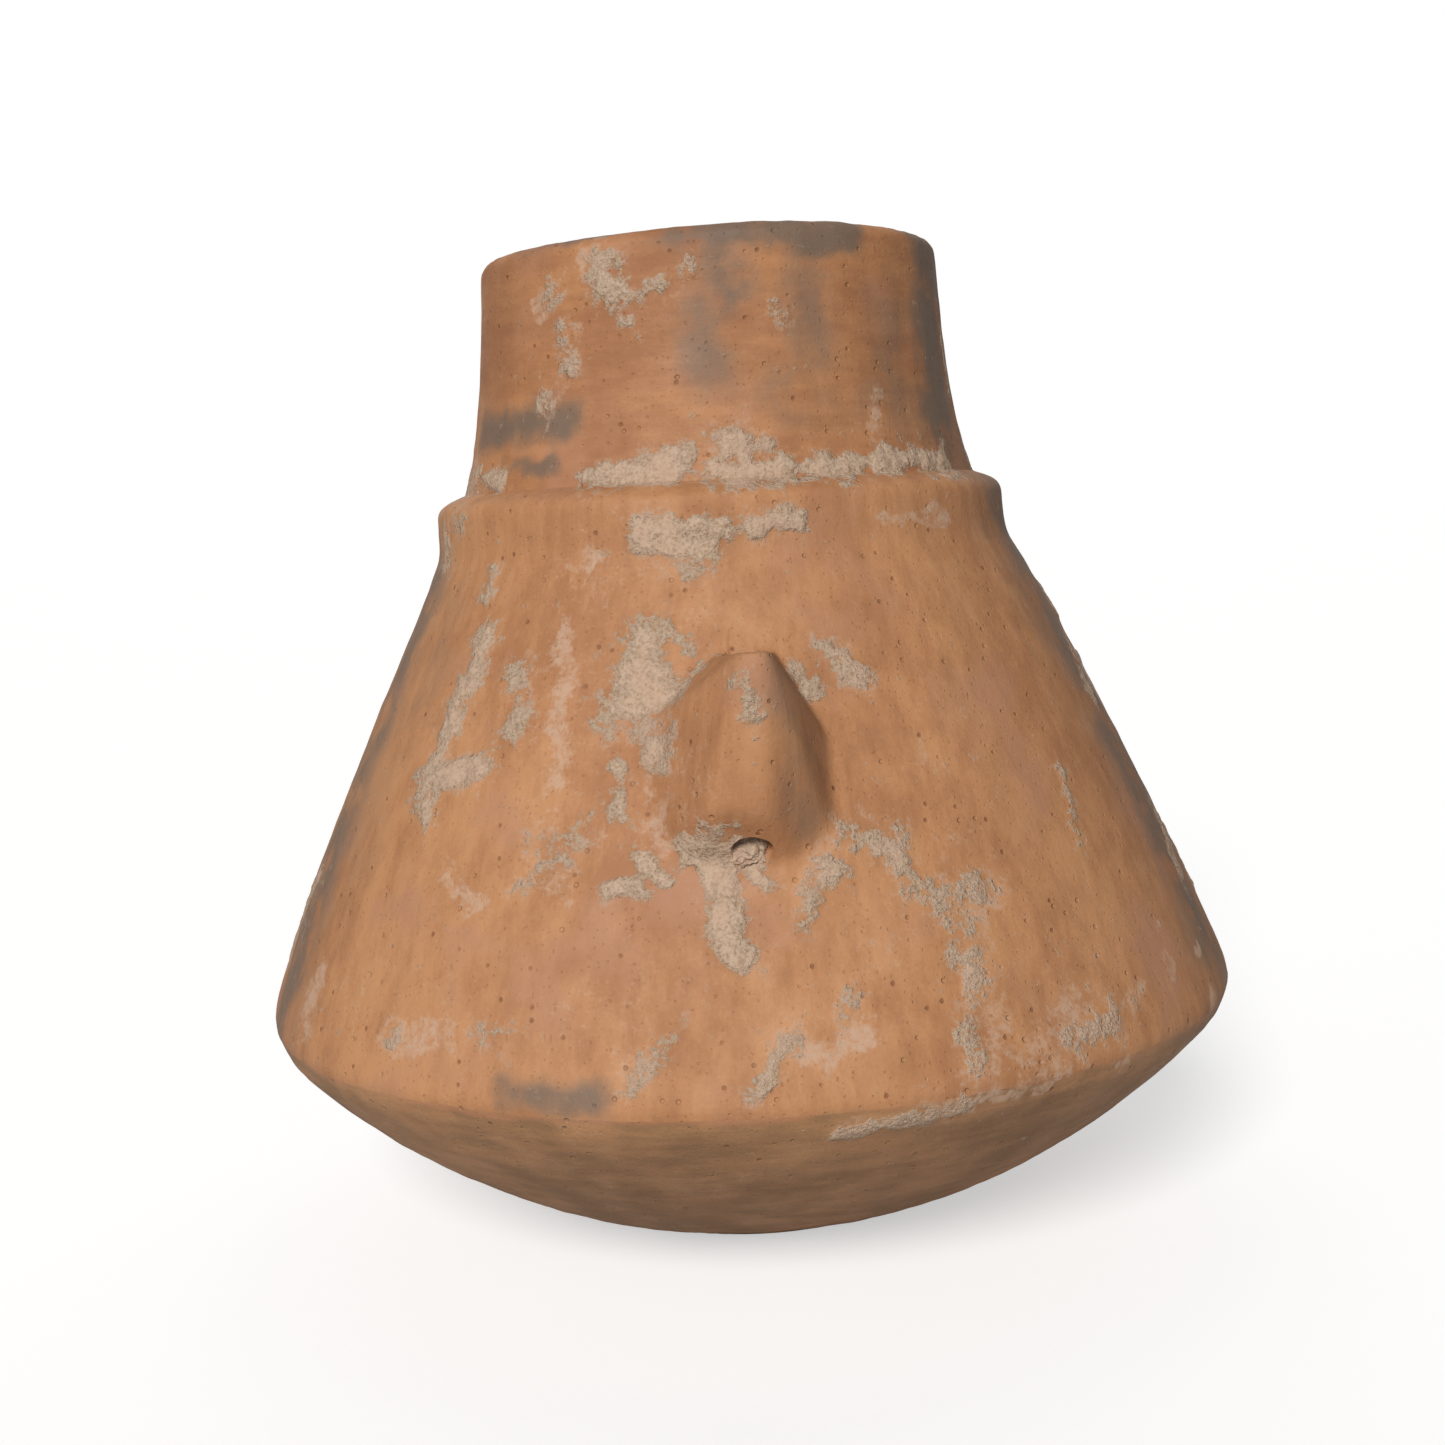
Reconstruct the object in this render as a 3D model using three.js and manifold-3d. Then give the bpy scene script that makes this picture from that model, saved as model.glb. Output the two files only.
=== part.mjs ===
// A hand-built amphora in fired red clay: a shallow round bowl, a keel, a tall conical shoulder,
// a collar ridge, a short neck and two upright pierced lugs.
//
// The wall is built up in coils. Each coil laps over the outside of the one below it on a slanting
// joint, and one of these joints is the keel, where the shoulder was set on the rim of the bowl. The
// coils, the collar and the lugs are separate solids that meet at luted seams.
// Millimetres, +Z up. The origin is the centre of the flat base, and the front lug faces -Y.
import * as THREE from "three";
import { ConvexGeometry } from "three/addons/geometries/ConvexGeometry.js";
import { mergeVertices } from "three/addons/utils/BufferGeometryUtils.js";
import Module from "manifold-3d";

// Driving dimensions of the body
const height = 242;
const baseRadius = 42;
const bellyRadius = 124; // where the bowl and the shoulder would meet if the keel were sharp
const keelHeight = 54.5;
const neckRootRadius = 66.5;
const neckRootHeight = 181;
const rimRadius = 57.5;
const wall = 7;
const floorThickness = 9;

// How the contour swells between those corners
const bowlBulge = 13;
const shoulderBulge = 4.5;
const keelRound = 8; // length of bowl and of shoulder that the rounded keel takes
const neckFlare = 17; // height over which the neck opens out to its root
const neckWaist = 1.6; // how far the foot of the neck stays outside the rim's radius

// Coils and their joints
const rimBand = 12; // length of the coil that carries the lip
const bowlCoils = ["bowl_lower_coil", "bowl_middle_coil", "bowl_rim_coil"];
const shoulderCoils = [
  "shoulder_keel_coil",
  "shoulder_lower_coil",
  "shoulder_upper_coil",
  "shoulder_top_coil",
];
const neckCoils = ["neck_lower_coil", "neck_upper_coil"];
const lap = 6; // how much higher a joint lies on the inside than on the outside
const seam = 0.4; // luted seam, measured along the wall
const clearance = 0.35; // between the wall and what is applied on it

// Collar ridge round the foot of the neck
const collarStand = 5.4; // how far its crest stands out from the neck root
const collarDrop = 13; // from the neck root down to its lower edge
const collarRise = 4; // from the neck root up to its upper edge
const collarSwell = 0.4; // how much further its face stands out below the crest
const collarCrown = 2.4; // how far its rounded crown drops in towards the upper edge

// Lugs. Across is +X seen from the front, and out is measured from the vessel's axis.
const lugFootHeight = 101; // where the underside meets the wall
const lugHeel = { across: -0.5, out: 112, up: 115, halfWidth: 4.5 }; // lower end of the crest
const lugPeak = { across: 6.5, out: 113, up: 149, halfWidth: 3.5 }; // upper end of the crest
const lugLeft = { across: -17, low: 110, high: 136 }; // where the left face meets the wall
const lugRight = { across: 19, low: 108, high: 131 };
const lugCrown = { across: 3, halfWidth: 7, up: 149 }; // where the top meets the wall
const lugUnder = { across: 1, halfWidth: 9 }; // where the underside meets the wall
const lugRoot = 4; // how far the lug's block is carried into the wall before it is trimmed
const boreRadius = 4.5;
const boreAcross = 2;
const formReach = 20; // how far the wall form that trims the lugs runs past them

// Fineness of the facets
const roundSegments = 48;
const boreSegments = 16;
const heightHalvings = 40; // steps in finding a place on the wall from its height
const facetLength = 9; // along the wall, at most
const keelFacetLength = 4.6; // in the two coils that share the rounded keel
const lipSteps = 6;
const collarSteps = 8;

// Clay colours, paler on the outside coils and greyer near the rim, as firing left them
const clay = { color: 0xc08a62, roughness: 0.88, metalness: 0 };
const sootyClay = { color: 0xa57c60, roughness: 0.9, metalness: 0 };
const darkClay = { color: 0x8f6a50, roughness: 0.9, metalness: 0 };

const wasm = await Module();
wasm.setup();

// ---- Contour -------------------------------------------------------------------------------
// The outside of the wall in section: x is the radius and y the height. Each stretch is a
// quadratic curve, pulled sideways from its chord by a bulge, and the keel rounds their corner.

function bulged(start, end, bulge) {
  const chord = end.clone().sub(start).normalize();
  const outward = new THREE.Vector2(chord.y, -chord.x);
  return start.clone().lerp(end, 0.5).addScaledVector(outward, bulge);
}

function stepTowards(from, to, distance) {
  return from.clone().addScaledVector(to.clone().sub(from).normalize(), distance);
}

function makeContour() {
  const baseEdge = new THREE.Vector2(baseRadius, 0);
  const keel = new THREE.Vector2(bellyRadius, keelHeight);
  const neckRoot = new THREE.Vector2(neckRootRadius, neckRootHeight);
  const rim = new THREE.Vector2(rimRadius, height - wall / 2);
  const bowlPull = bulged(baseEdge, keel, bowlBulge);
  const shoulderPull = bulged(keel, neckRoot, shoulderBulge);
  const neckPull = new THREE.Vector2(rimRadius + neckWaist, neckRootHeight + neckFlare);
  const keelStart = stepTowards(keel, bowlPull, keelRound);
  const keelEnd = stepTowards(keel, shoulderPull, keelRound);
  const path = new THREE.CurvePath();
  path.add(new THREE.QuadraticBezierCurve(baseEdge, bowlPull, keelStart));
  path.add(new THREE.QuadraticBezierCurve(keelStart, keel, keelEnd));
  path.add(new THREE.QuadraticBezierCurve(keelEnd, shoulderPull, neckRoot));
  path.add(new THREE.QuadraticBezierCurve(neckRoot, neckPull, rim));
  return path;
}

const contour = makeContour();
const [bowlLength, keelLength, shoulderLength, wallLength] = contour.getCurveLengths();

// The point at a distance up the wall from the base edge, and at a depth in from its outside.
function wallPoint(distance, depth) {
  const share = distance / wallLength;
  const tangent = contour.getTangent(share);
  return contour.getPoint(share).add(new THREE.Vector2(-tangent.y, tangent.x).multiplyScalar(depth));
}

function wallLine(from, to, depth, facet = facetLength) {
  const steps = Math.ceil(Math.abs(to - from) / facet);
  return Array.from({ length: steps + 1 }, (_, i) =>
    wallPoint(THREE.MathUtils.lerp(from, to, i / steps), depth));
}

// How far up the wall its outside reaches a given height.
function distanceAtHeight(up) {
  let low = 0;
  let high = wallLength;
  for (let i = 0; i < heightHalvings; i++) {
    const middle = (low + high) / 2;
    if (wallPoint(middle, 0).y < up) low = middle;
    else high = middle;
  }
  return low;
}

// ---- Turned pieces -------------------------------------------------------------------------

function turned(section) {
  const points = section[0].x === 0 ? section : [...section, section[0]];
  return new THREE.LatheGeometry(points, roundSegments).rotateX(Math.PI / 2);
}

function piece(name, geometry, finish) {
  const mesh = new THREE.Mesh(geometry, new THREE.MeshStandardMaterial(finish));
  mesh.name = name;
  return mesh;
}

// A slightly domed disc whose slanting edge takes the first coil.
function basePad() {
  const floorCentre = new THREE.Vector2(0, floorThickness);
  const bottomCentre = new THREE.Vector2(0, 0);
  const bottomEdge = new THREE.Vector2(baseRadius - seam / 2, 0);
  const floorEdge = wallPoint(lap - seam / 2, wall);
  return turned([bottomCentre, bottomEdge, floorEdge, floorCentre]);
}

function coil(from, to) {
  const start = from + seam / 2;
  const end = to - seam / 2;
  const bends = start < keelLength && end > bowlLength;
  const facet = bends ? keelFacetLength : facetLength;
  const outside = wallLine(start, end, 0, facet);
  const inside = wallLine(end + lap, start + lap, wall, facet);
  return turned([...outside, ...inside]);
}

// The last coil ends in a half-round lip as thick as the wall.
function rimCoil(from) {
  const start = from + seam / 2;
  const outside = wallLine(start, wallLength, 0);
  const inside = wallLine(wallLength, start + lap, wall);
  const centre = wallPoint(wallLength, wall / 2);
  const lip = new THREE.EllipseCurve(centre.x, centre.y, wall / 2, wall / 2, 0, Math.PI);
  return turned([...outside, ...lip.getPoints(lipSteps).slice(1, -1), ...inside]);
}

// An applied strip over the joint of neck and shoulder, with a soft crest near its upper edge.
function collarRidge() {
  const foot = shoulderLength - collarDrop;
  const top = shoulderLength + collarRise;
  const crest = neckRootRadius + collarStand;
  const face = new THREE.SplineCurve([
    wallPoint(foot, -clearance),
    new THREE.Vector2(crest + collarSwell, neckRootHeight - collarDrop / 2),
    new THREE.Vector2(crest, neckRootHeight),
    new THREE.Vector2(crest - collarCrown, neckRootHeight + collarRise / 2),
    wallPoint(top, -clearance),
  ]);
  const neckBack = wallLine(top, shoulderLength, -clearance).slice(1);
  const shoulderBack = wallLine(shoulderLength, foot, -clearance).slice(1, -1);
  return turned([...face.getPoints(collarSteps), ...neckBack, ...shoulderBack]);
}

// ---- Lugs ----------------------------------------------------------------------------------

function solidOf(geometry) {
  const bare = new THREE.BufferGeometry();
  bare.setAttribute("position", geometry.getAttribute("position"));
  if (geometry.index) bare.setIndex(geometry.index);
  const merged = mergeVertices(bare, 1e-3);
  return new wasm.Manifold(
    new wasm.Mesh({
      numProp: 3,
      vertProperties: merged.getAttribute("position").array,
      triVerts: new Uint32Array(merged.index.array),
    }),
  );
}

function geometryOf(solid) {
  const mesh = solid.getMesh();
  const geometry = new THREE.BufferGeometry();
  geometry.setAttribute("position", new THREE.BufferAttribute(mesh.vertProperties, 3));
  geometry.setIndex(new THREE.BufferAttribute(mesh.triVerts, 1));
  geometry.computeVertexNormals();
  return geometry;
}

// The outside of the wall as a full solid, with the clearance added.
function wallForm() {
  const low = distanceAtHeight(lugFootHeight) - formReach;
  const high = distanceAtHeight(lugPeak.up) + formReach;
  const face = wallLine(low, high, -clearance);
  const bottom = new THREE.Vector2(0, face[0].y);
  const top = new THREE.Vector2(0, face.at(-1).y);
  return solidOf(turned([bottom, ...face, top]));
}

// A point sunk into the wall by the lug's root, at a height and a distance across.
function rootPoint(across, up) {
  const radius = wallPoint(distanceAtHeight(up), lugRoot).x;
  return new THREE.Vector3(across, -Math.sqrt(radius ** 2 - across ** 2), up);
}

function crestPoints({ across, out, up, halfWidth }) {
  return [-halfWidth, halfWidth].map((side) => new THREE.Vector3(across + side, -out, up));
}

function lugBlock() {
  return new ConvexGeometry([
    ...crestPoints(lugHeel),
    ...crestPoints(lugPeak),
    ...[lugLeft, lugRight].flatMap((side) => [
      rootPoint(side.across, side.low),
      rootPoint(side.across, side.high),
    ]),
    rootPoint(lugCrown.across - lugCrown.halfWidth, lugCrown.up),
    rootPoint(lugCrown.across + lugCrown.halfWidth, lugCrown.up),
    rootPoint(lugUnder.across - lugUnder.halfWidth, lugFootHeight),
    rootPoint(lugUnder.across + lugUnder.halfWidth, lugFootHeight),
  ]);
}

// The hole for the carrying cord runs up along the wall, which forms its back.
function boreCutter() {
  const lowest = wallPoint(distanceAtHeight(lugFootHeight), -boreRadius);
  const highest = wallPoint(distanceAtHeight(lugPeak.up), -boreRadius);
  const start = new THREE.Vector3(boreAcross, -lowest.x, lowest.y);
  const end = new THREE.Vector3(boreAcross, -highest.x, highest.y);
  const along = end.clone().sub(start);
  const bore = new THREE.CylinderGeometry(boreRadius, boreRadius, 2 * along.length(), boreSegments);
  bore.applyQuaternion(
    new THREE.Quaternion().setFromUnitVectors(new THREE.Vector3(0, 1, 0), along.normalize()),
  );
  const middle = start.lerp(end, 0.5);
  return solidOf(bore.translate(middle.x, middle.y, middle.z));
}

function lug() {
  return geometryOf(solidOf(lugBlock()).subtract(wallForm()).subtract(boreCutter()));
}

// ---- Assembly ------------------------------------------------------------------------------

const amphora = new THREE.Group();

function stack(names, from, to, finish) {
  const span = (to - from) / names.length;
  names.forEach((name, i) =>
    amphora.add(piece(name, coil(from + i * span, from + (i + 1) * span), finish)));
}

const keelJoint = (bowlLength + keelLength) / 2;
const rimStart = wallLength - rimBand;

amphora.add(piece("base_pad", basePad(), darkClay));
stack(bowlCoils, 0, keelJoint, darkClay);
stack(shoulderCoils, keelJoint, shoulderLength, clay);
amphora.add(piece("collar_ridge", collarRidge(), clay));
stack(neckCoils, shoulderLength, rimStart, clay);
amphora.add(piece("rim_coil", rimCoil(rimStart), sootyClay));

for (const [name, turn] of [["lug_front", 0], ["lug_rear", Math.PI]]) {
  const mesh = piece(name, lug(), clay);
  mesh.rotation.z = turn;
  amphora.add(mesh);
}

export default amphora;
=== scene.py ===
import math

import bmesh
import bpy
import numpy as np
from mathutils import Matrix, Vector, noise


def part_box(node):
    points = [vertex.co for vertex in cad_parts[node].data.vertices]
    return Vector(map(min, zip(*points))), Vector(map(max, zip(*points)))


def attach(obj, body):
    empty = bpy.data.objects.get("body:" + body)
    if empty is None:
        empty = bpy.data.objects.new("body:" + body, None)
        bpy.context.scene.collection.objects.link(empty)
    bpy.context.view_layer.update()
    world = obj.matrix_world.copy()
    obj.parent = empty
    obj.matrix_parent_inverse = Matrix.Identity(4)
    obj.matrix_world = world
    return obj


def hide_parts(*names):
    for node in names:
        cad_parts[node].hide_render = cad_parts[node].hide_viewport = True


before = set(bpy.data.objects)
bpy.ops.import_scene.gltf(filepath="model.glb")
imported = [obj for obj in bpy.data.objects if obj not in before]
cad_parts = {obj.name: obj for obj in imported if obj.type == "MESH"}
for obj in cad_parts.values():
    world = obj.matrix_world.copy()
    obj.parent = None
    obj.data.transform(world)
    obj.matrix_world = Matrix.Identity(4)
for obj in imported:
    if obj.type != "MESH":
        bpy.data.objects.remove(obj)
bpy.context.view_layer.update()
mm = 0.001


# ---- The studio table: camera, floor and light ----------------------------------------------
# The jar stands on pale paper and is seen from near by, a little above the middle of the belly. A
# broad soft light stands in front, slightly to the left, a faint one at its left side, and one
# behind it lifts the edges.

camera_place = (0, -0.5031, 0.178)
camera_tilts = (math.radians(0.404), math.radians(90 - 6.283), math.radians(-2.948))
camera = bpy.data.objects.new("camera", bpy.data.cameras.new("camera"))
bpy.context.scene.collection.objects.link(camera)
camera.data.sensor_width = 36
camera.data.lens = 48.23
camera.matrix_world = (
    Matrix.Translation(camera_place)
    @ Matrix.Rotation(camera_tilts[0], 4, "Z")
    @ Matrix.Rotation(camera_tilts[1], 4, "X")
    @ Matrix.Rotation(camera_tilts[2], 4, "Z")
)
camera.data.clip_end = 50
bpy.context.scene.camera = camera
bpy.context.scene.view_settings.view_transform = "Standard"


def lamp(name, power, spread, azimuth, elevation, colour):
    """A sun lamp so broad that it lights like a large soft box. Azimuth 0 is in front."""
    light = bpy.data.lights.new(name, "SUN")
    light.energy = power
    light.angle = math.radians(spread)
    light.color = colour
    holder = bpy.data.objects.new(name, light)
    bpy.context.scene.collection.objects.link(holder)
    turn, lift = math.radians(azimuth), math.radians(elevation)
    towards = Vector(
        (math.sin(turn) * math.cos(lift), -math.cos(turn) * math.cos(lift), math.sin(lift))
    )
    holder.rotation_mode = "QUATERNION"
    holder.rotation_quaternion = towards.to_track_quat("Z", "Y")


lamp("soft_box", 3.08, 22, -14, 31, (1.0, 0.99, 0.975))
lamp("side_box", 0.1, 40, -70, 30, (1.0, 1.0, 1.0))
lamp("back_light", 0.8, 80, 180, 30, (1.0, 1.0, 1.0))


def glow_for_camera(tree, socket, otherwise, for_camera):
    """Lets a backdrop look brighter than it lights, so that the paper stays white and plain."""
    rays = tree.nodes.new("ShaderNodeLightPath")
    glow = tree.nodes.new("ShaderNodeMapRange")
    glow.inputs["To Min"].default_value = otherwise
    glow.inputs["To Max"].default_value = for_camera
    tree.links.new(rays.outputs["Is Camera Ray"], glow.inputs["Value"])
    tree.links.new(glow.outputs["Result"], socket)


world = bpy.data.worlds.new("studio")
bpy.context.scene.world = world
world.use_nodes = True
sky = world.node_tree.nodes["Background"]
sky.inputs["Color"].default_value = (1, 1, 1, 1)
glow_for_camera(world.node_tree, sky.inputs["Strength"], 0.1, 1.0)

paper = bmesh.new()
bmesh.ops.create_circle(paper, cap_ends=True, segments=96, radius=12)
floor = bpy.data.objects.new("floor", bpy.data.meshes.new("floor"))
paper.to_mesh(floor.data)
paper.free()
bpy.context.scene.collection.objects.link(floor)
white_paper = bpy.data.materials.new("white_paper")
white_paper.use_nodes = True
paper_surface = white_paper.node_tree.nodes["Principled BSDF"]
paper_surface.inputs["Base Color"].default_value = (0.6, 0.6, 0.6, 1)
paper_surface.inputs["Roughness"].default_value = 0.9
paper_surface.inputs["Emission Color"].default_value = (1, 1, 1, 1)
glow_for_camera(white_paper.node_tree, paper_surface.inputs["Emission Strength"], 0, 0.54)
floor.data.materials.append(white_paper)


# ---- The wall -------------------------------------------------------------------------------
# The whole jar is one wall of low-fired red clay, built up in coils that were luted together and
# wiped smooth by hand. Its outside runs from the base edge over the bowl, keel, shoulder and neck
# to the lip, so the coils below all take their shape from this one line.

coils = [
    "bowl_lower_coil",
    "bowl_middle_coil",
    "bowl_rim_coil",
    "shoulder_keel_coil",
    "shoulder_lower_coil",
    "shoulder_upper_coil",
    "shoulder_top_coil",
    "neck_lower_coil",
    "neck_upper_coil",
    "rim_coil",
]
wall = 7 * mm
lap = 6 * mm  # how far the joint between two coils slants from the outside to the inside
turns = 720  # facets round the jar, so that each is much narrower than a finger's mark
outside_step = 1 * mm  # length of the facets up the wall
inside_step = 3 * mm


def outside_of(node):
    """Radius and height along the outside of a coil in the frame, from its foot to its top edge."""
    ring = bmesh.new()
    ring.from_mesh(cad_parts[node].data)
    bmesh.ops.remove_doubles(ring, verts=ring.verts, dist=1e-6)
    cut = {v for v in ring.verts if abs(v.co.y) < 1e-5 and v.co.x > 0}
    lip_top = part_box("rim_coil")[1].z - 1e-6
    sharp = 0.8  # the outside ends where it turns more sharply than this cosine
    path = [min(cut, key=lambda v: v.co.z)]
    straight = 1
    while straight > sharp and path[-1].co.z < lip_top:
        nearby = [edge.other_vert(path[-1]) for edge in path[-1].link_edges]
        onward = max((v for v in nearby if v in cut and v not in path), key=lambda v: v.co.x)
        if len(path) > 1:
            before = (path[-1].co - path[-2].co).normalized()
            after = (onward.co - path[-1].co).normalized()
            straight = before.dot(after)
        if straight > sharp:
            path.append(onward)
    points = [(v.co.x, v.co.z) for v in path]
    ring.free()
    return points


def smooth_through(points, step):
    """A curve through the points (Catmull-Rom), as closely spaced points on it."""
    points = np.array(points)
    points = np.vstack([2 * points[0] - points[1], points, 2 * points[-1] - points[-2]])
    curve = []
    for p0, p1, p2, p3 in zip(points, points[1:], points[2:], points[3:]):
        for t in np.arange(0, 1, step / np.linalg.norm(p2 - p1)):
            curve.append(
                0.5 * (2 * p1 + (p2 - p0) * t + (2 * p0 - 5 * p1 + 4 * p2 - p3) * t**2
                       + (3 * p1 - p0 - 3 * p2 + p3) * t**3)
            )
    return np.vstack([curve, points[-2]])


outline_points, feet = [], []
for name in coils:
    coil_points = outside_of(name)
    feet.append(coil_points[0])
    outline_points += coil_points[:-1]
outline_points += coil_points[-1:]
outline = smooth_through(outline_points, 0.25 * mm)
outline_length = np.concatenate([[0], np.cumsum(np.linalg.norm(np.diff(outline, axis=0), axis=1))])
outline_slope = np.gradient(outline, outline_length, axis=0)
keel = feet[3][1]
neck_root = feet[7][1]


def along_at(height):
    return np.interp(height, outline[:, 1], outline_length)


def wall_point(along, depth):
    """Radius and height at a distance along the outside and a depth in from it."""
    radius, height = (np.interp(along, outline_length, outline[:, k]) for k in (0, 1))
    lean, climb = (np.interp(along, outline_length, outline_slope[:, k]) for k in (0, 1))
    return radius - climb * depth, height + lean * depth


# ---- What fire, use and burial left on it, and painted shade --------------------------------
# Lime and soil sit on the clay in crusts up to a millimetre or two thick, with a thin pale bloom
# round them, and smoke from an open firing greyed the lip and the sides of the neck. The same grey
# is painted as shade down both flanks, on the right of the neck and on the right face of the front
# lug.
# Each mark is a stroke: degrees round from the front and height in mm where it starts, the same
# where it ends, half its width in mm, and its strength.

crusts = [
    # neck, mostly high on the left
    (-25, 233, -22, 227, 3.6, 1.0), (-20, 236, -20, 233, 1.8, 0.9), (-40, 234, -38, 229, 2.5, 0.6),
    (-36, 222, -33, 212, 2, 0.7), (-40, 207, -40, 205, 2, 0.7), (-16, 228, -10, 229, 1.5, 0.6),
    (-19, 222, -16, 218, 1.5, 0.6), (-4, 234, -4, 231, 1.5, 0.6), (15, 224, 16, 220, 1.5, 0.6),
    # packed into the groove over the collar
    (-67, 189, -54, 188, 2.5, 1.0), (-28, 187, -10, 187, 2.4, 1.3), (-14, 188, -8, 191, 3, 1.2),
    (0, 194, 10, 193, 2, 0.8), (4, 193, 6, 186, 3.5, 1.1), (0, 186, 30, 186, 2.6, 1.4),
    (28, 187, 58, 187, 2.8, 1.4),
    # on the collar
    (-9, 174, 13, 174, 2.7, 1.2), (-13, 173, -4, 169, 4, 1.2), (-6, 166, -6, 163, 2, 0.8),
    (-70, 178, -67, 168, 3.5, 0.8), (-61, 178, -58, 179, 3, 0.7),
    # down the left of the shoulder
    (-46, 166, -46, 160, 2, 0.8), (-44, 152, -43, 142, 3.2, 1.1), (-45, 141, -46, 125, 3.6, 1.1),
    (-47, 120, -37, 124, 3.6, 1.1), (-48, 117, -44, 112, 2.4, 0.8), (-34, 143, -32, 133, 3.4, 0.8),
    # round the front lug
    (-14, 149, -13, 139, 5.5, 1.2), (-10, 153, -5, 146, 2.5, 1.0), (-17, 137, -9, 139, 3.6, 0.9),
    (-12, 134, -10, 124, 3, 0.9), (-15, 123, -15, 115, 2.4, 1.0), (-18, 137, -18, 132, 1.8, 0.7),
    (14, 147, 18, 141, 2.8, 0.9), (8, 143, 12, 138, 1.6, 0.8), (-2, 146, 1, 147, 1.5, 0.7),
    (-3, 104, -2, 88, 3.8, 1.3), (-6, 107, 0, 106, 2.2, 1.2), (1, 103, 3, 99, 2.2, 1.2),
    (6, 92, 10, 103, 2.6, 0.9), (-12, 106, -9, 101, 2.2, 1.1), (-15, 100, -10, 99, 2, 1.1),
    (-8, 130, -9, 118, 0.8, 0.7), (-19, 114, -18, 108, 0.7, 0.7), (1, 133, 1, 126, 1.8, 0.8),
    # the rest of the shoulder
    (-25, 109, -19, 110, 3, 0.6), (-27, 100, -22, 105, 2.2, 0.6), (12, 109, 18, 108, 3.2, 0.7),
    (17, 105, 22, 94, 3, 0.85), (22, 93, 28, 96, 3, 0.7), (25, 86, 24, 74, 3.6, 0.6),
    (22, 70, 23, 62, 2, 0.65), (48, 118, 45, 100, 1.4, 0.7), (34, 62, 40, 64, 2.8, 0.8),
    (41, 68, 41, 60, 1.8, 0.7), (45, 65, 45, 59, 1, 0.7), (0, 60, 4, 69, 2, 0.8),
    (8, 68, 10, 78, 1.4, 0.6), (-12, 65, -12, 61, 2.2, 0.8), (-10, 63, -7, 73, 0.9, 0.6),
    (-41, 68, -41, 66, 1.5, 0.6), (-30, 71, -26, 71, 1.7, 0.6),
    # under the keel
    (8, 50, 21, 52, 1.6, 0.8), (33, 37, 37, 38, 0.8, 0.6),
]
blooms = [
    (-30, 236, -28, 233, 2.5, 0.6), (-46, 229, -43, 224, 2.2, 0.6), (-81, 238, -80, 228, 3, 0.6),
    (38, 202, 36, 193, 3.2, 0.5), (-26, 235, -22, 227, 5, 0.5), (30, 174, 46, 174, 2, 0.6),
    (-24, 168, -24, 160, 2.2, 0.6), (-27, 151, -24, 122, 3.6, 0.6), (-24, 112, -22, 100, 5, 0.5),
    (-37, 100, -33, 96, 3, 0.6), (4, 67, 11, 69, 3.6, 0.6), (-42, 67, -34, 70, 3.4, 0.5),
    (-60, 73, -59, 64, 5, 0.6), (63, 68, 62, 56, 1.4, 0.7), (55, 78, 54, 66, 1.4, 0.5),
    (-11, 124, -9, 108, 4, 0.4), (18, 53, 36, 55, 1.2, 0.6), (29, 52, 42, 54, 1.4, 0.6),
    (44, 64, 48, 68, 2.4, 0.5), (26, 92, 23, 62, 6, 0.5), (30, 58, 36, 66, 7, 0.5),
    (-30, 222, -42, 192, 1.5, 0.35), (-22, 160, -18, 120, 16, 0.2), (30, 120, 30, 80, 16, 0.16),
    (-50, 74, -10, 74, 12, 0.14), (-8, 82, 40, 82, 14, 0.14), (-10, 150, -6, 110, 14, 0.2),
]
smoke_and_shade_strokes = [
    # The second stroke, on the right edge of the neck, is partly smoke and partly painted shade.
    (-6, 241, 34, 240, 4.5, 1.0), (68, 240, 62, 196, 9, 1.1), (-2, 222, 1, 208, 6, 0.7),
    (22, 224, 28, 206, 7, 0.6), (16, 204, 40, 203, 7, 0.5), (2, 235, 6, 224, 6, 0.8),
    (-66, 200, -36, 200, 4.5, 0.9), (-54, 190, -36, 190, 2.2, 0.8), (-58, 242, -20, 242, 2, 0.8),
    (-25, 60, -17, 60, 3.6, 0.8), (-56, 160, -54, 130, 9, 0.35), (-62, 126, -58, 100, 12, 0.3),
    # The first stroke here is the same on the neck. The other two, down the right and left flanks,
    # are painted shade.
    (80, 242, 84, 218, 14, 0.9), (74, 178, 70, 70, 15, 0.8), (-74, 160, -70, 62, 14, 0.8),
    # The first stroke here is painted shade on the right face of the front lug.
    (6.5, 139, 7, 111, 4.5, 0.5), (46, 225, 44, 196, 7, 0.5),
]

# The far side has marks of the same kinds, which the fire and the ground left at random. Those in
# the groove keep to it, and the others are scattered about the middle height of their group.
chance = np.random.default_rng(27)
groove = 187
for height, count in ((217, 9), (groove, 9), (145, 22), (98, 26), (68, 16), (45, 8)):
    scattered = height != groove
    for turn in chance.uniform(74, 286, count):
        start = height + chance.uniform(-15, 15) * scattered
        width, drop = chance.uniform(1.4, 4), chance.uniform(0, 14) * scattered
        crusts.append((turn, start, turn + chance.uniform(-5, 5), start - drop, width, 0.8))
        blooms.append((turn + 3, start, turn + 3, start - drop, 2 * width, chance.uniform(0, 0.7)))
for turn, height in zip(chance.uniform(100, 280, 9), chance.uniform(60, 236, 9)):
    smoke_and_shade_strokes.append((turn, height, turn + chance.uniform(0, 25), height, chance.uniform(4, 12), 0.5))


def noise_at(points, size, seed, octaves=3):
    """Cloudy noise between about -1 and 1, with its largest lumps as big as size."""
    shift = Vector((seed * 3.7, seed * 1.3, seed * 2.1))
    places = (points / size).tolist()
    return np.array([noise.fractal(Vector(place) + shift, 0.7, 2.0, octaves) for place in places])


def ramp(value, low, high):
    share = np.clip((value - low) / (high - low), 0, 1)
    return share * share * (3 - 2 * share)


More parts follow.
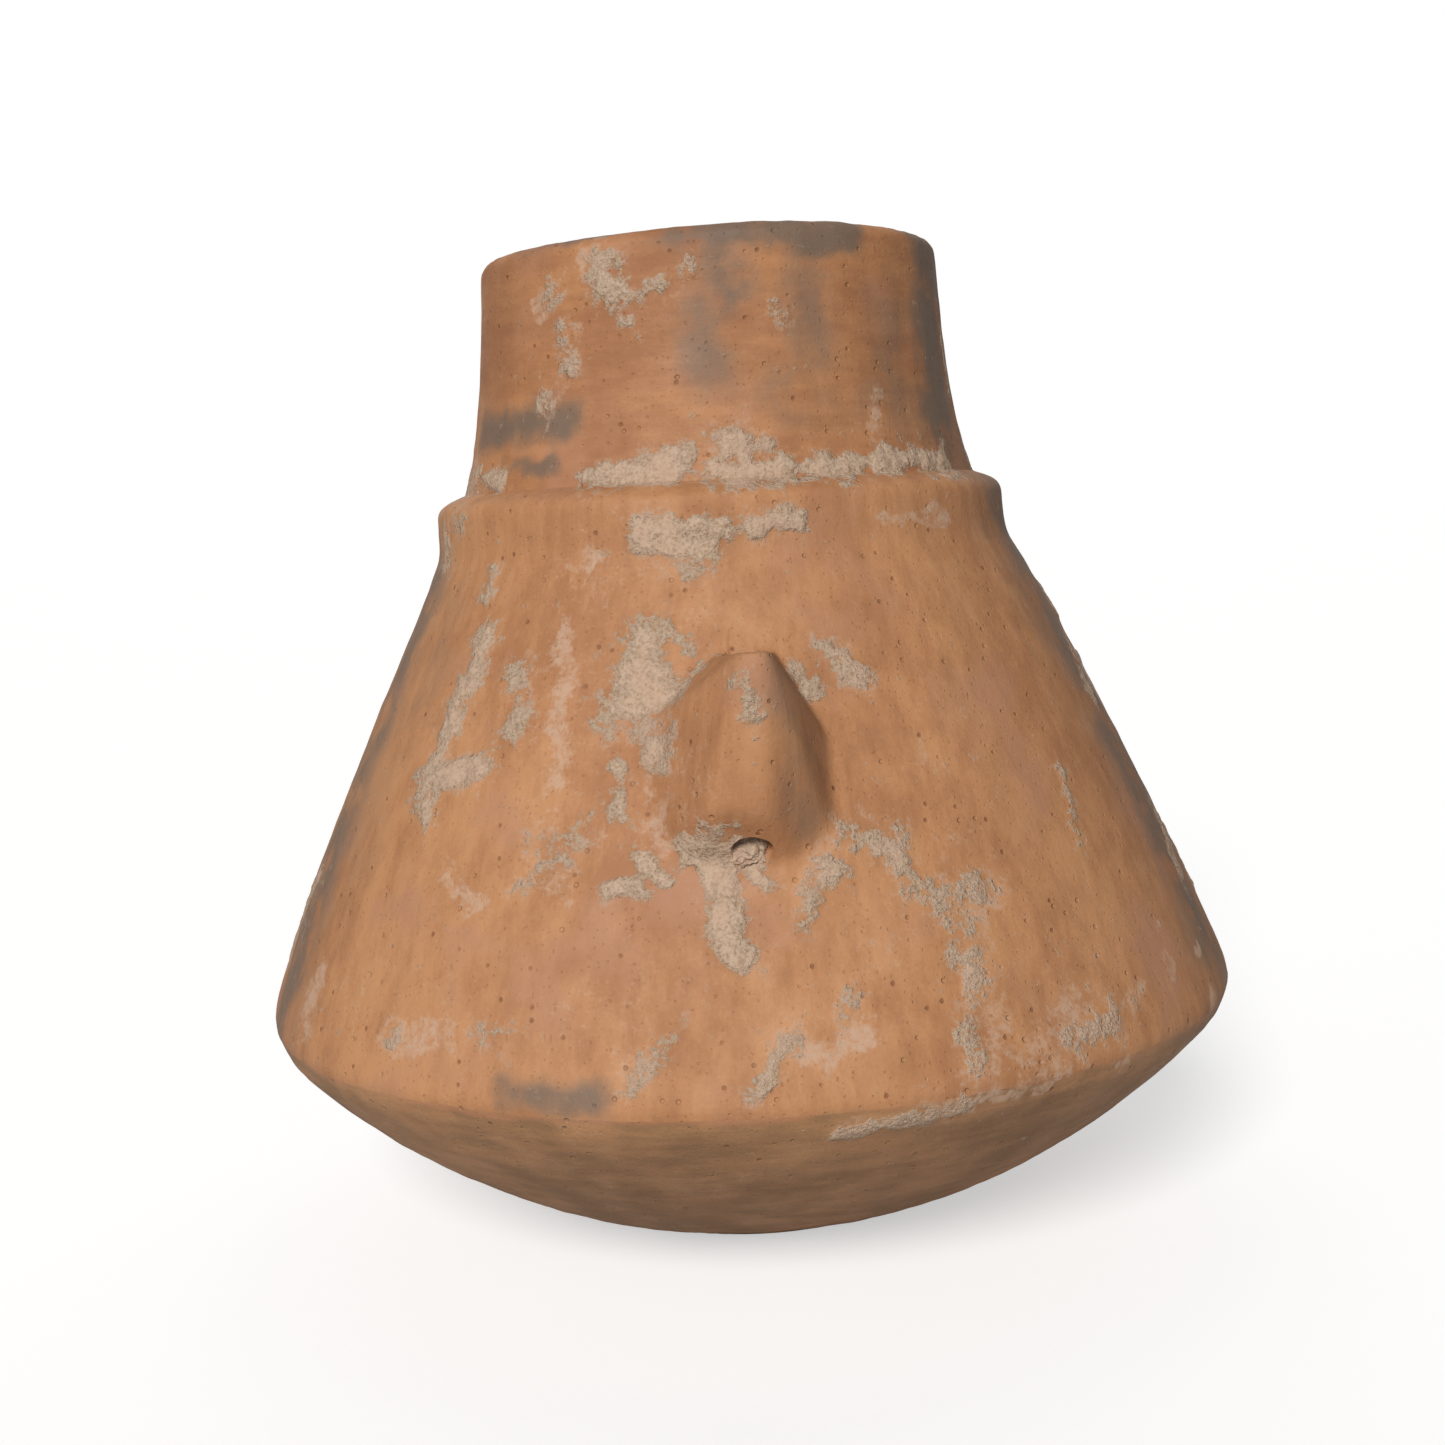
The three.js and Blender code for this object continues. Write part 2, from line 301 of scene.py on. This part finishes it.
def reach_of(stroke, azimuth, along, radius, raggedness):
    """How far each point is from the middle line of a stroke, in half widths."""
    start_turn, start_height, end_turn, end_height, half_width, _ = stroke
    turned = np.remainder(azimuth - math.radians(start_turn) + math.pi, 2 * math.pi) - math.pi
    across = turned * radius / mm
    up = (along - along_at(start_height * mm)) / mm
    run = math.radians(end_turn - start_turn) * radius / mm
    rise = (along_at(end_height * mm) - along_at(start_height * mm)) / mm
    share = np.clip((across * run + up * rise) / (run**2 + rise**2 + 0.01), 0, 1)
    return (np.hypot(across - share * run, up - share * rise) + raggedness) / half_width


def marks_at(points, azimuth, along):
    """Crust, bloom, smoke and browning (both partly painted shade) at each point, and how thick the
    crust is.
    """
    radius = np.hypot(points[:, 0], points[:, 1])
    ragged = 2.6 * noise_at(points, 9 * mm, 1, 2) + 1.7 * noise_at(points, 3.4 * mm, 3, 3)
    drifting = 3.5 * noise_at(points, 16 * mm, 2, 4)
    crust, thickness, bloom, smoke_and_shade = np.zeros((4, len(points)))
    for stroke in crusts:
        reach = reach_of(stroke, azimuth, along, radius, ragged)
        crust = np.maximum(crust, ramp(reach, 2.0, 0.2) * stroke[-1])
        thickness = np.maximum(thickness, ramp(reach, 1.3, 0) * stroke[-1])
        bloom = np.maximum(bloom, 0.4 * ramp(reach, 2.6, 1.0))
    for stroke in blooms:
        reach = reach_of(stroke, azimuth, along, radius, ragged + 0.4 * drifting)
        bloom = np.maximum(bloom, stroke[-1] * ramp(reach, 1.6, 0.4))
    for stroke in smoke_and_shade_strokes:
        reach = reach_of(stroke, azimuth, along, radius, drifting)
        smoke_and_shade = np.maximum(smoke_and_shade, stroke[-1] * ramp(reach, 2.1, 0))
    # Below a wavering line at the keel the clay turns browner and darker: partly its own colour,
    # partly painted shade for the bowl that faces down.
    edge = along_at(keel) + 1.6 * mm * noise_at(points, 22 * mm, 5, 3)
    browning_and_shade = ramp(along, edge + 1.2 * mm, edge - 2.4 * mm)
    return {"crust": crust, "bloom": bloom, "smoke_and_shade": smoke_and_shade, "browning_and_shade": browning_and_shade}, thickness


# ---- Clay -----------------------------------------------------------------------------------
# The body is iron-rich red clay with fine grit, wiped with a wet hand. The wiping left faint
# streaks, the grit burnt or fell out as dark specks and pores, and the surface is matt with a
# slight sheen where it was rubbed.

# The smoke grey also serves as painted shade on the flanks, on the lug's right face and inside the
# jar.
soot_and_shade = (0.165, 0.118, 0.086, 1)
bloom_white = (0.53, 0.355, 0.25, 1)
crust_pale = (0.515, 0.385, 0.28, 1)
crust_soil = (0.36, 0.24, 0.155, 1)
rust = (0.20, 0.065, 0.03, 1)
pink_wash = (0.43, 0.212, 0.123, 1)
# The bowl's dark brown is partly its own colour and partly painted shade under the keel.
bowl_brown_and_shade = (0.28, 0.15, 0.072, 1)
hearth_red = (0.44, 0.225, 0.105, 1)


def fired_clay(name, pale, deep, wiping, roughness):
    """Clay whose colour wanders between two tones. Wiping squeezes its streaks along x, y and z."""
    material = bpy.data.materials.new(name)
    material.use_nodes = True
    tree = material.node_tree
    surface = tree.nodes["Principled BSDF"]

    def add(kind, settings=(), **inputs):
        made = tree.nodes.new("ShaderNode" + kind)
        for key, value in dict(settings).items():
            setattr(made, key, value)
        for key, value in inputs.items():
            socket = made.inputs[int(key[1:]) if key[0] == "_" else key]
            if isinstance(value, bpy.types.NodeSocket):
                tree.links.new(value, socket)
            else:
                socket.default_value = value
        return made

    def sums(operation, first, second, clamp=False):
        how = {"operation": operation, "use_clamp": clamp}
        return add("Math", how, _0=first, _1=second).outputs[0]

    def swing(value, weight, middle=0.5):
        """How far a pattern swings to either side of its middle, times a weight."""
        return sums("MULTIPLY", sums("SUBTRACT", value, middle), weight)

    def blend(share, first, second):
        return add("Mix", {"data_type": "RGBA"}, _0=share, _6=first, _7=second).outputs[2]

    def fade(value, low, high, top=1.0):
        made = add("MapRange", {"interpolation_type": "SMOOTHSTEP"}, Value=value)
        made.inputs["From Min"].default_value = low
        made.inputs["From Max"].default_value = high
        made.inputs["To Max"].default_value = top
        return made.outputs["Result"]

    def placed(size, squeeze):
        """Object coordinates in which a pattern's lumps are this many millimetres across."""
        scale = tuple(s / (size * mm) for s in squeeze)
        return add("Mapping", Vector=here, Scale=scale).outputs[0]

    def clouds(size, detail=4.0, squeeze=(1, 1, 1), rough=0.55):
        where = placed(size, squeeze)
        return add("TexNoise", Vector=where, Scale=1.0, Detail=detail, Roughness=rough).outputs["Fac"]

    def specks(size, share, reach):
        """Small spots: a share of the cells of this size hold one, out to a reach of the cell."""
        cells = add("TexVoronoi", Vector=placed(size, (1, 1, 1)), Scale=1.0)
        chosen = add("SeparateColor", Color=cells.outputs["Color"]).outputs[0]
        inside = fade(cells.outputs["Distance"], reach, reach * 0.5)
        return sums("MULTIPLY", inside, sums("LESS_THAN", chosen, share))

    def mark(which):
        return add("Attribute", {"attribute_name": which}).outputs["Fac"]

    here = add("TexCoord").outputs["Object"]
    near = clouds(12, 5)
    streaks = clouds(5, 4, wiping, 0.6)
    fine = clouds(0.9, 3, rough=0.65)
    lumps = clouds(2.6, 5, rough=0.65)

    # The clay itself
    tone = sums("ADD", sums("MULTIPLY", clouds(46, 3), 0.9), sums("MULTIPLY", near, 0.65))
    tone = sums("ADD", tone, sums("MULTIPLY", streaks, 0.75))
    tone = sums("ADD", tone, sums("MULTIPLY", fine, 0.3))
    clay = blend(fade(tone, 0.98, 1.62), deep, pale)
    clay = blend(fade(clouds(27, 4), 0.5, 0.72, 0.7), clay, pink_wash)
    # The bowl's tones: partly its own browner clay, partly painted shade under the keel.
    bowl_tone_and_shade = blend(fade(tone, 1.05, 1.6), bowl_brown_and_shade, hearth_red)
    clay = blend(fade(mark("browning_and_shade"), 0.25, 0.75), clay, bowl_tone_and_shade)
    clay = blend(sums("MULTIPLY", specks(3.3, 0.16, 0.15), 0.7), clay, rust)
    clay = blend(sums("MULTIPLY", specks(1.2, 0.14, 0.26), 0.45), clay, rust)
    clay = blend(fade(clouds(1.6, 5, rough=0.7), 0.62, 0.74, 0.5), clay, rust)

    # Smoke and painted shade, then bloom broken up by the texture under it, then crust
    smoky_and_shaded = sums("MULTIPLY", mark("smoke_and_shade"), fade(near, 0.2, 0.6))
    clay = blend(fade(smoky_and_shaded, 0.05, 0.9, 0.9), clay, soot_and_shade)
    dusty = sums("ADD", mark("bloom"), swing(lumps, 1.7))
    dusty = sums("ADD", dusty, swing(fine, 0.7))
    dusty = sums("ADD", dusty, swing(near, 0.8))
    clay = blend(fade(dusty, 0.22, 0.85, 0.75), clay, bloom_white)
    ragged = sums("ADD", mark("crust"), swing(lumps, 2.0, 0.52))
    ragged = sums("ADD", ragged, swing(fine, 1.0))
    ragged = sums("ADD", ragged, swing(clouds(6, 3), 1.3))
    crusted = fade(ragged, 0.34, 0.7, 0.93)
    lime = blend(fade(clouds(0.8, 4, rough=0.7), 0.36, 0.56), crust_soil, crust_pale)
    lime = blend(fade(near, 0.45, 0.62, 0.5), lime, bloom_white)
    lime = blend(sums("MULTIPLY", specks(1.5, 0.3, 0.3), 0.8), lime, crust_soil)
    clay = blend(crusted, clay, lime)
    tree.links.new(clay, surface.inputs["Base Color"])

    rubbed = fade(near, 0.3, 0.7)
    gloss = sums("SUBTRACT", roughness + 0.1, sums("MULTIPLY", rubbed, 0.12))
    gloss = sums("ADD", gloss, sums("MULTIPLY", crusted, 0.25), True)
    tree.links.new(gloss, surface.inputs["Roughness"])
    surface.inputs["Specular IOR Level"].default_value = 0.35

    # Relief: grain, pores and wiping on the clay, and a crumbly top on the crust
    relief = sums("ADD", sums("MULTIPLY", fine, 0.25), sums("MULTIPLY", streaks, 0.5))
    relief = sums("SUBTRACT", relief, sums("MULTIPLY", specks(3.3, 0.35, 0.2), 0.6))
    relief = sums("SUBTRACT", relief, sums("MULTIPLY", specks(1.4, 0.25, 0.25), 0.3))
    crumbs = sums("ADD", sums("MULTIPLY", lumps, 1.1), sums("MULTIPLY", fine, 0.4))
    relief = sums("ADD", relief, sums("MULTIPLY", fade(ragged, 0.3, 1.1), crumbs))
    bump = add("Bump", Strength=1.0, Distance=0.45 * mm, Height=relief)
    tree.links.new(bump.outputs["Normal"], surface.inputs["Normal"])
    return material


# ---- Base pad -------------------------------------------------------------------------------
# A thick disc of clay, patted flat on the ground, with a slanting edge on which the first coil is
# built. It is all that the jar stands on.

base_clay = fired_clay("base_clay", (0.40, 0.20, 0.12, 1), (0.27, 0.13, 0.075, 1), (1, 1, 1), 0.8)


def labels_of(shape):
    """Layers for a vertex's distance along the wall, whether it is inside, and on a sharp corner."""
    return {which: shape.verts.layers.float.new(which) for which in ("along", "inside", "corner")}


def ring_of(section):
    """Turns a section round the axis. Each point has radius, height, along, inside and corner."""
    ring = bmesh.new()
    labels = labels_of(ring)
    for radius, height, *values in section:
        vert = ring.verts.new((0, -radius, height))
        for label, value in zip(labels.values(), values):
            vert[label] = value
    ring.verts.ensure_lookup_table()
    for here, there in zip(range(len(section)), range(1, len(section) + 1)):
        if there < len(section):
            ring.edges.new((ring.verts[here], ring.verts[there]))
        elif section[0][0] > 0:
            ring.edges.new((ring.verts[here], ring.verts[0]))

    # An eighth is spun in small steps, and then repeated seven times
    eighth = math.pi / 4
    steps = turns // 8
    whole = ring.verts[:] + ring.edges[:]
    bmesh.ops.spin(ring, geom=whole, axis=(0, 0, 1), angle=eighth, steps=steps)
    whole = ring.verts[:] + ring.edges[:] + ring.faces[:]
    bmesh.ops.spin(ring, geom=whole, axis=(0, 0, 1), angle=7 * eighth, steps=7, use_duplicate=True)
    bmesh.ops.remove_doubles(ring, verts=ring.verts, dist=1e-6)
    for edge in ring.edges:
        edge.smooth = not all(vert[labels["corner"]] for vert in edge.verts)
    return ring


# How the lip rises and falls round the mouth: times round, height of the wave, degrees to its top
lip_waves = [(2, 0.5, 15), (3, 0.35, 60), (5, 0.2, 10)]
lean_left = 1.5 * mm  # how far the neck stands out of true


def finish(name, shape, clay, node=None):
    """Turns a shape into a piece: hand-formed, weathered and painted with some shade, on its body, in
    place of its solid.
    """
    bmesh.ops.recalc_face_normals(shape, faces=shape.faces)
    if shape.calc_volume(signed=True) < 0:
        bmesh.ops.reverse_faces(shape, faces=shape.faces)
    for face in shape.faces:
        face.smooth = True
    piece = bpy.data.objects.new(name, bpy.data.meshes.new(name))
    shape.to_mesh(piece.data)
    shape.free()
    bpy.context.scene.collection.objects.link(piece)
    piece.data.materials.append(clay)

    def label(which):
        values = np.zeros(len(piece.data.vertices))
        piece.data.attributes[which].data.foreach_get("value", values)
        piece.data.attributes.remove(piece.data.attributes[which])
        return values

    points = np.zeros(3 * len(piece.data.vertices))
    piece.data.vertices.foreach_get("co", points)
    points = points.reshape(-1, 3)
    along, inside = label("along"), label("inside")
    label("corner")
    azimuth = np.arctan2(points[:, 0], -points[:, 1])
    lean, climb = (np.interp(along, outline_length, outline_slope[:, k]) for k in (0, 1))
    marks, thickness = marks_at(points, azimuth, along)
    outside = 1 - inside

    # How far the surface stands out of the true line. The potter's hands left broad hollows, the
    # marks of upward strokes, small dabs and a swelling just over the keel, and the crust is thick.
    hollows = 0.7 * mm * noise_at(points, 90 * mm, 11, 2)
    strokes = 0.22 * mm * noise_at(points * (1, 1, 0.22), 11 * mm, 12, 3)
    dabs = 0.10 * mm * noise_at(points, 7 * mm, 13, 2)
    over_keel = (along - along_at(keel) - 1.5 * mm) / (2.2 * mm)
    swelling = 0.4 * mm * np.exp(-(over_keel**2))
    crumbs = thickness * (0.4 + 0.35 * noise_at(points, 3 * mm, 14, 3)) * mm
    proud = hollows + dabs + outside * (strokes + swelling + crumbs)
    proud *= ramp(along, 0, 8 * mm)  # the base edge stays true, so that the jar stands firm
    lift = sum(h * np.cos(n * (azimuth - math.radians(top))) for n, h, top in lip_waves) * mm
    lift = lift * ramp(along, along_at(neck_root) + 15 * mm, outline_length[-1])
    points[:, 0] += proud * climb * np.sin(azimuth)
    points[:, 1] -= proud * climb * np.cos(azimuth)
    points[:, 0] -= lean_left * ramp(points[:, 2], 0.62 * outline[-1, 1], neck_root)
    points[:, 2] += lift - proud * lean
    piece.data.vertices.foreach_set("co", points.ravel())
    marks["crust"] *= outside
    marks["bloom"] *= outside
    # The inside of the wall takes half the smoke grey, as painted shade inside the jar.
    marks["smoke_and_shade"] = np.maximum(marks["smoke_and_shade"], 0.5 * inside)
    for which, values in marks.items():
        piece.data.attributes.new(which, "FLOAT", "POINT").data.foreach_set("value", values)
    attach(piece, "root")
    if node:
        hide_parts(node)
    return piece


def spaced(first, last, step):
    return np.linspace(first, last, math.ceil(abs(last - first) / step) + 1)


floor_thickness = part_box("base_pad")[1].z
pad_edge = wall_point(lap, wall)
slip = 0.1 * mm  # the pad stops this short of the coil that sits on its edge
pad = [(r, 0.0, 0, 0, 0) for r in spaced(0, outline[0, 0] - 1 * mm, 2 * mm)[:-1]]
pad += [(outline[0, 0] - slip, 0.0, 0, 0, 1)]
pad += [(pad_edge[0] - slip, pad_edge[1], 0, 1, 1)]
pad += [(r, floor_thickness, 0, 1, 0) for r in spaced(pad_edge[0] - 3 * mm, 0, 3 * mm)]
finish("base_pad_clay", ring_of(pad), base_clay, "base_pad")


# ---- Bowl -----------------------------------------------------------------------------------
# Three coils flare from the base to the keel. The bowl is browner and darker than the rest, partly
# its own colour and partly painted shade for its underside that faces down, and it was wiped round
# and round.

bowl_clay = fired_clay(
    "bowl_clay", (0.46, 0.225, 0.112, 1), (0.37, 0.165, 0.08, 1), (0.25, 0.25, 1.6), 0.58
)


def coil(name, first, last, clay):
    """One coil between two distances along the wall, with slanting laps where it meets others."""
    section = [
        (*wall_point(s, 0), s, 0, s in (first, last)) for s in spaced(first, last, outside_step)
    ]
    section += [
        (*wall_point(s, wall), s, 1, s in (first + lap, last + lap))
        for s in spaced(last + lap, first + lap, inside_step)
    ]
    finish(name + "_clay", ring_of(section), clay, name)


joints = [along_at(foot[1]) for foot in feet]
joints[0] = 0
for name, first, last in zip(coils[:3], joints, joints[1:]):
    coil(name, first, last, bowl_clay)


# ---- Shoulder -------------------------------------------------------------------------------
# Four coils close in from the keel to the neck. They were burnished upwards with a pebble, which
# left long shallow facets.

shoulder_clay = fired_clay(
    "shoulder_clay", (0.505, 0.247, 0.112, 1), (0.36, 0.16, 0.07, 1), (1.3, 1.3, 0.22), 0.62
)
for name, first, last in zip(coils[3:7], joints[3:], joints[4:]):
    coil(name, first, last, shoulder_clay)


# ---- Collar ---------------------------------------------------------------------------------
# A strip of clay pressed over the joint of neck and shoulder. Its lower edge is smeared into the
# shoulder, and its upper edge leaves a groove where the neck begins.

collar_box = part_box("collar_ridge")
crest = collar_box[1].x
collar_foot, collar_top = (along_at(corner.z) for corner in collar_box)
root_radius = wall_point(along_at(neck_root), 0)[0]
stand = crest - root_radius

# Its face, from the smeared foot over the crest and down into the groove
face = smooth_through(
    [
        wall_point(collar_foot - 6 * mm, 0.4 * mm),
        wall_point(collar_foot - 1 * mm, -0.2 * mm),
        (crest - 0.3 * mm, neck_root - 9 * mm),
        (crest - 0.5 * mm, neck_root - 5 * mm),
        (crest - 0.9 * mm, neck_root - 0.8 * mm),
        (crest - 0.5 * stand, neck_root + 1.6 * mm),
        wall_point(collar_top, 0.3 * mm),
    ],
    0.7 * mm,
)
collar = [(r, z, along_at(z), 0, 0) for r, z in face]
collar_back = spaced(collar_top, collar_foot, inside_step)
collar += [(*wall_point(s, 1 * mm), s, 1, 1) for s in collar_back]
finish("collar_ridge_clay", ring_of(collar), shoulder_clay, "collar_ridge")


# ---- Neck and lip ---------------------------------------------------------------------------
# Two coils and a rim coil, wiped round with wet fingers. The lip is round, a little uneven, and
# grey where flames reached it.

neck_clay = fired_clay(
    "neck_clay", (0.465, 0.216, 0.093, 1), (0.32, 0.137, 0.06, 1), (0.3, 0.3, 1.4), 0.60
)
for name, first, last in zip(coils[7:9], joints[7:], joints[8:]):
    coil(name, first, last, neck_clay)

top = outline_length[-1]
quarter = math.pi / 4 * wall
middle = (outline[-1, 0], outline[-1, 1] - wall / 2)
rim = [(*wall_point(s, 0), s, 0, s == joints[9]) for s in spaced(joints[9], top, 0.7 * mm)]
for share in (0.2, 0.4, 0.6, 0.8):
    turn = math.pi / 2 * (1 + share)
    radius = middle[0] + wall / 2 * math.cos(turn)
    height = middle[1] + wall / 2 * math.sin(turn)
    rim.append((radius, height, top, share, 0))
for s in spaced(top - quarter, joints[9] + lap, inside_step):
    rim.append((*wall_point(s, wall), s, 1, s == joints[9] + lap))
finish("rim_coil_clay", ring_of(rim), neck_clay, "rim_coil")


# ---- Lugs -----------------------------------------------------------------------------------
# Two blunt wedges of clay, one in front and one behind, pressed on while the shoulder was soft and
# smoothed into it with a wet finger. Each was pierced upwards along the wall with a stick, so that
# a carrying cord could pass behind it. Their corners are mm across, up the wall and out from it.

corners = {
    "heel_left": (-7, 7.3, 12.5),
    "heel_right": (5.5, 7.3, 12.5),
    "peak_left": (1.5, 37, 26.8),
    "peak_right": (7.5, 37, 26.8),
    "left_low": (-17, 8, 0),
    "left_high": (-17, 33, 0),
    "right_low": (18.5, 7, 0),
    "right_high": (18.5, 28, 0),
    "crown_left": (-4, 46.5, 0),
    "crown_right": (9, 46.5, 0),
    "under_left": (-8, 0, 0),
    "under_right": (10, 0, 0),
}
flats = [
    ("heel_left", "heel_right", "peak_left"),
    ("under_left", "under_right", "heel_left"),
    ("peak_left", "peak_right", "crown_left"),
    ("left_low", "heel_left", "peak_left"),
    ("left_low", "left_high", "peak_left"),
    ("left_high", "crown_left", "peak_left"),
    ("right_low", "heel_right", "peak_right"),
    ("right_low", "right_high", "peak_right"),
    ("right_high", "crown_right", "peak_right"),
    ("left_low", "under_left", "heel_left"),
    ("right_low", "under_right", "heel_right"),
]
lug_foot_along = along_at(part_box("lug_front")[0].z)
lug_foot = Vector(wall_point(lug_foot_along, 0))
lug_head = Vector(wall_point(lug_foot_along + 50 * mm, 0))
upward = (lug_head - lug_foot).normalized()
outward = Vector((upward.y, -upward.x))
bore_radius = 4.5 * mm
bore_across = 2 * mm
bore_out = 0.7 * bore_radius  # the middle of the hole, out from the wall
patch = (52 * mm, 66 * mm)  # the patch of wall, across and up, that the lug is raised from
patch_middle = (1 * mm, 26 * mm)


def lug_spot(across, up, out, turn):
    """The place of a point given across, up the wall and out from it, on the lug at this turn."""
    flat = lug_foot + upward * up + outward * out
    return Matrix.Rotation(turn, 4, "Z") @ Vector((across, -flat.x, flat.y))


def wall_under(across, up):
    """How far out the wall itself stands under a point of the lug, as it is round and bulges."""
    out = 0
    for _ in range(6):  # each step comes nearer, the wall's lean making it 1.11 times too long
        flat = lug_foot + upward * up + outward * out
        radius = np.interp(flat.y, outline[:, 1], outline[:, 0])
        out += (math.sqrt(radius**2 - across**2) - flat.x) / 1.11
    return out


def lug_height(across, up):
    """How far out the lug stands: the lowest of its flats, with their edges rubbed round."""
    rubbed = 1.0 * mm
    softest = 0
    for flat in flats:
        a, b, c = (Vector(corners[name]) * mm for name in flat)
        normal = (b - a).cross(c - a)
        height = a.z - ((across - a.x) * normal.x + (up - a.y) * normal.y) / normal.z
        softest += math.exp(min(-height / rubbed, 80))
    return -rubbed * math.log(softest)


def lug(node, turn):
    block = bmesh.new()
    bmesh.ops.create_grid(block, x_segments=92, y_segments=116, size=0.5)
    bmesh.ops.scale(block, verts=block.verts, vec=(*patch, 1))
    bmesh.ops.translate(block, verts=block.verts, vec=(*patch_middle, 0))
    skin = bmesh.ops.extrude_face_region(block, geom=block.faces[:])["geom"]
    skin = {part for part in skin if isinstance(part, bmesh.types.BMVert)}
    border = 4 * mm  # where the skin thins out into the wall
    thinning = 0.5 * mm
    sunk = 1.2 * mm  # how far the block's back lies in the wall
    blending = 2.4 * mm  # how widely a wet finger rounded the joint of lug and wall
    for vert in block.verts:
        across, up, _ = vert.co
        bed = wall_under(across, up)
        out = bed - sunk
        if vert in skin:
            gap = lug_height(across, up) - bed
            out = bed + (gap + math.hypot(gap, blending)) / 2
            from_sides = patch[0] / 2 - abs(across - patch_middle[0])
            from_ends = patch[1] / 2 - abs(up - patch_middle[1])
            out -= thinning * (1 - min(from_sides / border, from_ends / border, 1))
        vert.co = lug_spot(across, up, out, turn)
    bmesh.ops.recalc_face_normals(block, faces=block.faces)
    piece = bpy.data.objects.new(node, bpy.data.meshes.new(node))
    block.to_mesh(piece.data)
    block.free()
    bpy.context.scene.collection.objects.link(piece)

    # The stick that pierced it, a little crooked
    stick = bmesh.new()
    bmesh.ops.create_cone(
        stick, cap_ends=True, segments=48, radius1=bore_radius, radius2=bore_radius, depth=90 * mm
    )
    for height in range(-40, 41, 2):
        whole = stick.verts[:] + stick.edges[:] + stick.faces[:]
        bmesh.ops.bisect_plane(stick, geom=whole, plane_co=(0, 0, height * mm), plane_no=(0, 0, 1))
    for vert in stick.verts:
        bend = noise.noise(Vector((vert.co.z / (16 * mm), 5, 0))) * 0.6 * mm
        grain = 1 + 0.18 * noise.noise(vert.co / (4 * mm))
        x, y, z = vert.co.x * grain, 0.75 * vert.co.y * grain, vert.co.z + patch_middle[1]
        vert.co = lug_spot(bore_across + x, z, y + bore_out + bend, turn)
    bmesh.ops.recalc_face_normals(stick, faces=stick.faces)
    hole = bpy.data.objects.new("stick", bpy.data.meshes.new("stick"))
    stick.to_mesh(hole.data)
    stick.free()
    bpy.context.scene.collection.objects.link(hole)
    cut = piece.modifiers.new("pierce", "BOOLEAN")
    cut.operation = "DIFFERENCE"
    cut.solver = "EXACT"
    cut.object = hole
    pierced = bmesh.new()
    pierced.from_object(piece, bpy.context.evaluated_depsgraph_get())
    bpy.data.objects.remove(hole)
    bpy.data.objects.remove(piece)
    bmesh.ops.triangulate(pierced, faces=[face for face in pierced.faces if len(face.verts) > 4])
    labels = labels_of(pierced)
    for vert in pierced.verts:
        front = Matrix.Rotation(-turn, 4, "Z") @ vert.co
        flat = Vector((-front.y, front.z)) - lug_foot
        vert[labels["along"]] = lug_foot_along + flat.dot(upward)
    for edge in pierced.edges:
        edge.smooth = edge.calc_face_angle(0) < math.radians(50)
    finish(node + "_clay", pierced, shoulder_clay, node)


lug("lug_front", 0)
lug("lug_rear", math.pi)


# ---- Soil in the cord hole ------------------------------------------------------------------
# Limy soil that washed into the front hole and set hard there. It fills the lower half of the
# mouth and leaves a dark slit above.

soil_middle = (1.2 * mm, 6 * mm, 0.7 * mm)  # across, up the wall and out from it
soil_reach = (5.4 * mm, 6.5 * mm, 2.1 * mm)
soil = bmesh.new()
bmesh.ops.create_icosphere(soil, subdivisions=6, radius=1)
for vert in soil.verts:
    crumb = 1 + 0.22 * noise.fractal(vert.co * 1.6, 0.7, 2.0, 5)
    spot = [m + part * crumb * r for m, part, r in zip(soil_middle, vert.co, soil_reach)]
    vert.co = lug_spot(*spot, 0)
labels = labels_of(soil)
for vert in soil.verts:
    vert[labels["along"]] = along_at(vert.co.z)
soil_plug = finish("soil_in_cord_hole", soil, shoulder_clay)
whole_crust = np.full(len(soil_plug.data.vertices), 1.3)
soil_plug.data.attributes["crust"].data.foreach_set("value", whole_crust)
